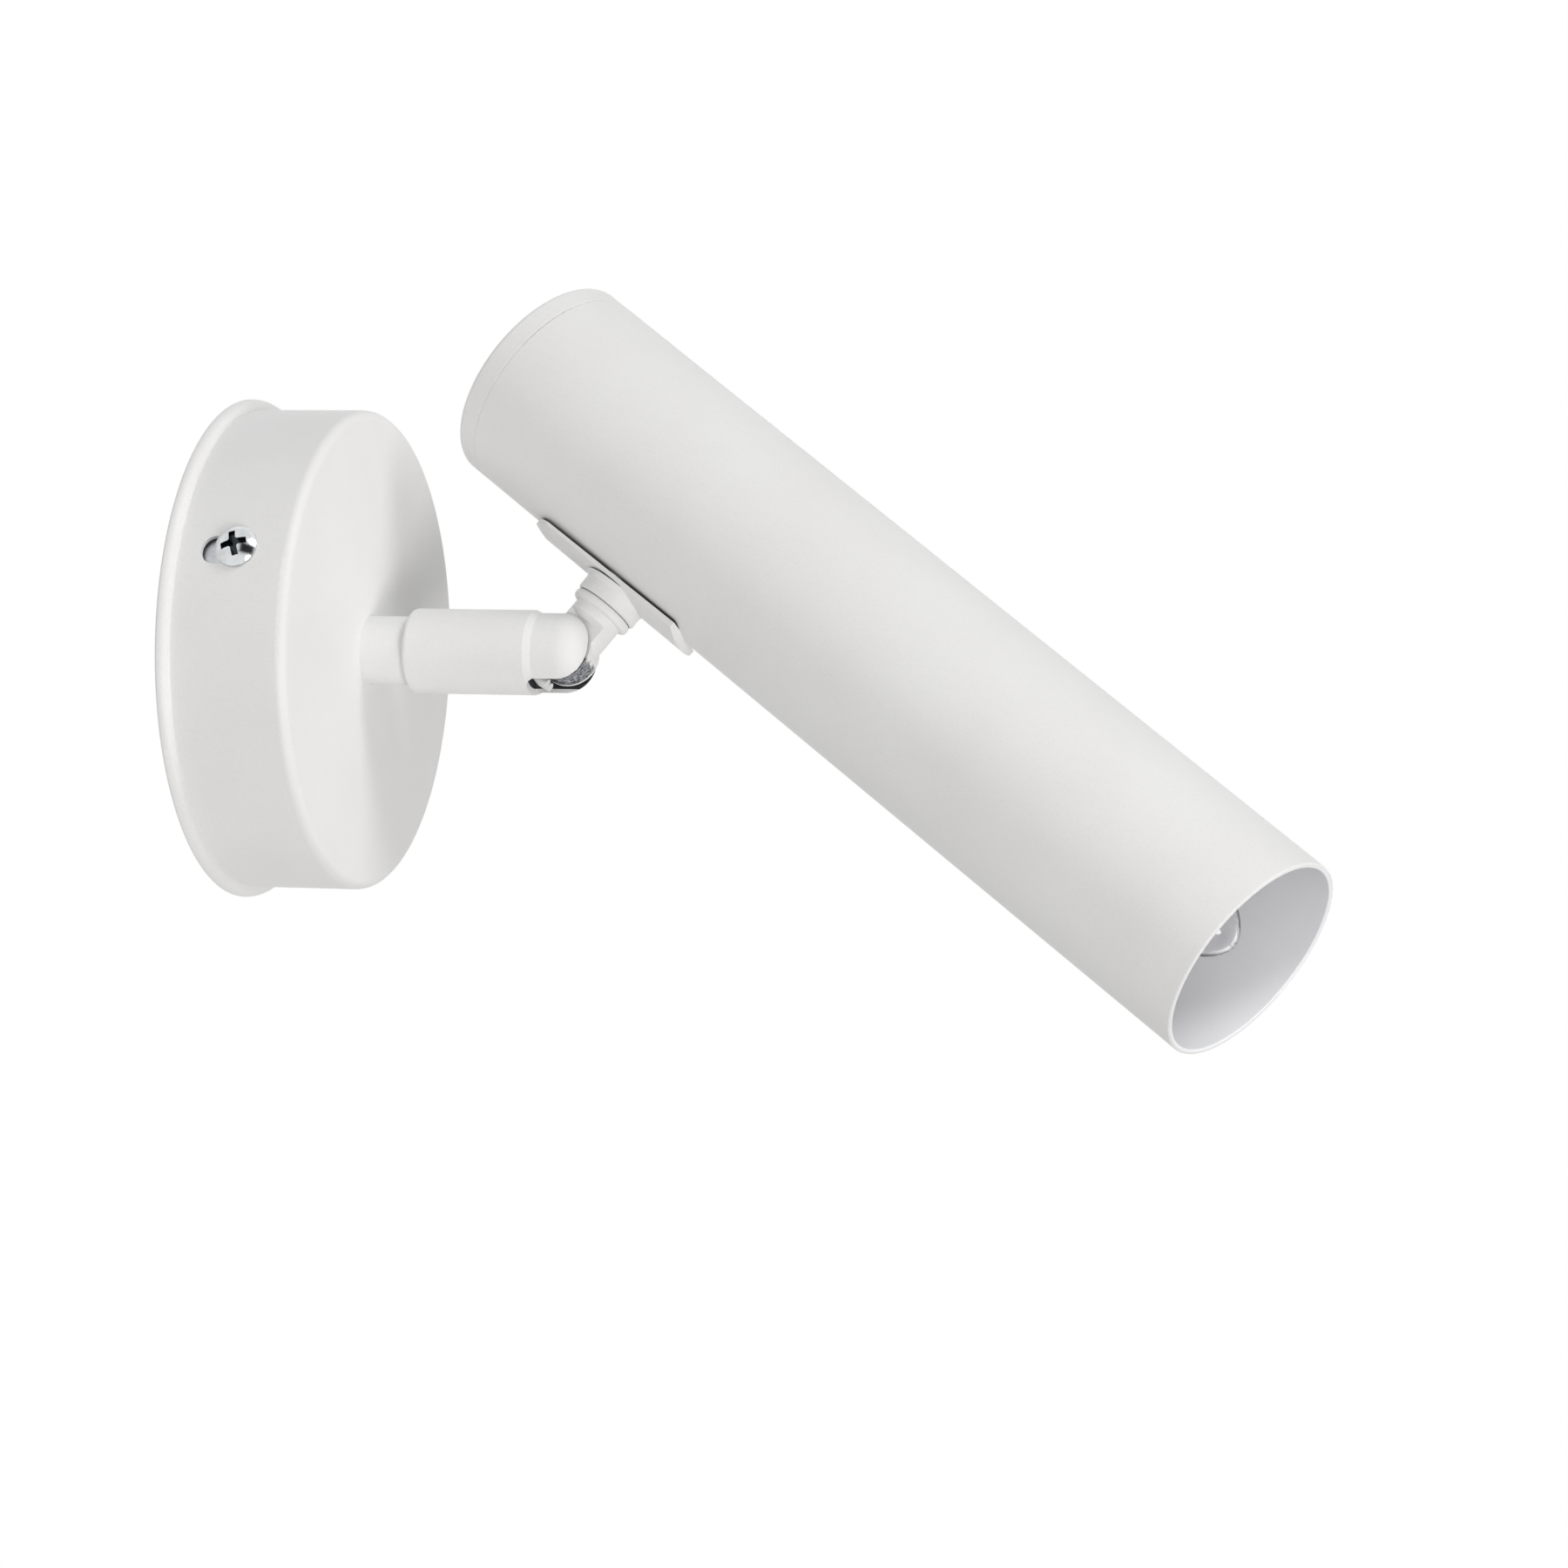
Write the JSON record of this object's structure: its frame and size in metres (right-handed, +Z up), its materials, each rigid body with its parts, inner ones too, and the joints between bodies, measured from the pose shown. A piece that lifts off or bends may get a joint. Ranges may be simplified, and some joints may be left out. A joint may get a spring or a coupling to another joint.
{
  "type": "pivoting spotlight wall light",
  "caption": "Tubular spotlight on a round wall canopy, aimed by a swivelling slotted knuckle and a tilting eye stem under the lamp tube.",
  "frame": {"origin": "centre of the wall plane on the canopy's axis, midway between the two wall-screw slots", "axes": "+X out of the wall along the canopy's axis, +Z up, +Y along the line of wall-screw slots and side screws"},
  "size_m": [0.2238, 0.0996, 0.1543],
  "materials": {
    "white_powder_coat": "fine matt powder coat",
    "zinc_plate": "bright zinc plate",
    "bright_screws": "polished zinc",
    "nylon": "natural",
    "terminal_plastic": "moulded",
    "terminal_brass": "turned",
    "white_ceramic": "unglazed",
    "black_insulator": "glassy",
    "cap_nickel": "rolled thread",
    "clear_glass": "clear",
    "tungsten": "drawn wire",
    "wire_insulation": "silicone"
  },
  "bodies": {
    "wall_base": {"canopy": "white_powder_coat", "mounting_strap": "zinc_plate", "side_screws": "bright_screws", "terminal_block": "terminal_plastic", "terminal_inserts": "terminal_brass", "terminal_screws": "bright_screws", "terminal_fixing_screw": "bright_screws", "earth_screw": "bright_screws", "earth_washer": "zinc_plate", "canopy_wires": "wire_insulation", "neck_collar": "white_powder_coat", "stop_pin": "bright_screws", "swivel_spindle": "zinc_plate", "star_washer": "zinc_plate", "canopy_nut": "zinc_plate", "head_washer": "nylon"},
    "knuckle": {"knuckle_sleeve": "white_powder_coat", "retaining_bush": "zinc_plate", "swivel_washer": "nylon", "swivel_spring": "bright_screws", "pivot_screw": "bright_screws", "pivot_washers": "nylon", "sleeve_wires": "wire_insulation"},
    "head": {"eye_stem": "white_powder_coat", "saddle": "white_powder_coat", "lamp_tube": "white_powder_coat", "rear_cap": "white_powder_coat", "shaped_washer": "zinc_plate", "stem_nut": "zinc_plate", "holder_bracket": "zinc_plate", "holder_nipple": "zinc_plate", "holder_nut": "zinc_plate", "holder_body": "white_ceramic", "holder_thread": "terminal_brass", "holder_screws": "bright_screws", "holder_contact": "terminal_brass", "bulb_contact": "terminal_brass", "bulb_insulator": "black_insulator", "bulb_cap": "cap_nickel", "bulb_glass": "clear_glass", "bulb_mount": "clear_glass", "filament": "tungsten", "head_wires": "wire_insulation"}
  },
  "joints": [
    {"name": "swivel", "type": "hinge", "parent": "wall_base", "child": "knuckle", "pos_m": [0.045, 0, 0], "axis": [1, 0, 0], "range_deg": [-165, 165]},
    {"name": "tilt", "type": "hinge", "parent": "knuckle", "child": "head", "pos_m": [0.0668, 0, 0], "axis": [0, 1, 0], "range_deg": [-15, 75]}
  ]
}
